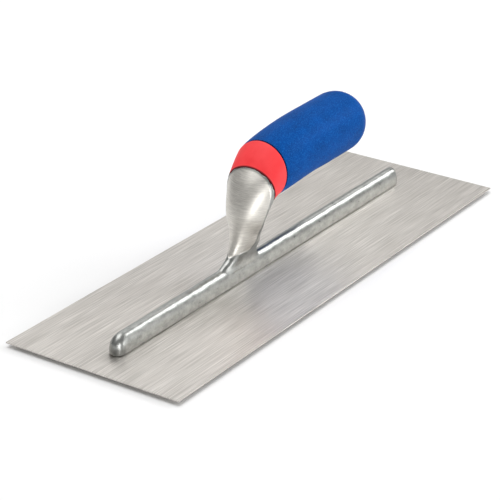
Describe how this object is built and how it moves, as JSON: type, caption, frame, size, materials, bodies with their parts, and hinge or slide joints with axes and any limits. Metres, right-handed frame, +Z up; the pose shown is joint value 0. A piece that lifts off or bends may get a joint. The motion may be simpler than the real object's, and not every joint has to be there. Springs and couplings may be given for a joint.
{
  "type": "finishing trowel",
  "caption": "Flat rectangular steel trowel blade riveted to a cast aluminium rib, with a swan neck, a collar and a soft round-ended grip.",
  "frame": {"origin": "centre of the blade's flat underside", "axes": "+X along the blade from toe to heel, +Y across the blade, +Z up from the blade to the handle"},
  "size_m": [0.3556, 0.1142, 0.0855],
  "materials": {
    "blade_steel": "hardened and tempered steel sheet, satin, brushed along its length",
    "cast_aluminium": "tumbled casting, linished on the front of the neck",
    "rivet_steel": "soft steel, ground flush with the blade",
    "collar_plastic": "moulded polypropylene, matte coral red",
    "core_plastic": "moulded polypropylene, natural white, hidden",
    "grip_rubber": "overmoulded thermoplastic elastomer, matte blue with a fine grain",
    "screw_steel": "zinc-plated steel",
    "washer_steel": "zinc-plated steel",
    "plug_plastic": "moulded polypropylene, matte blue"
  },
  "bodies": {
    "root": {"blade": "blade_steel", "mounting": "cast_aluminium", "blade_rivets": "rivet_steel", "collar": "collar_plastic", "handle_core": "core_plastic", "grip": "grip_rubber", "handle_screw": "screw_steel", "screw_washer": "washer_steel", "end_plug": "plug_plastic"}
  },
  "joints": []
}
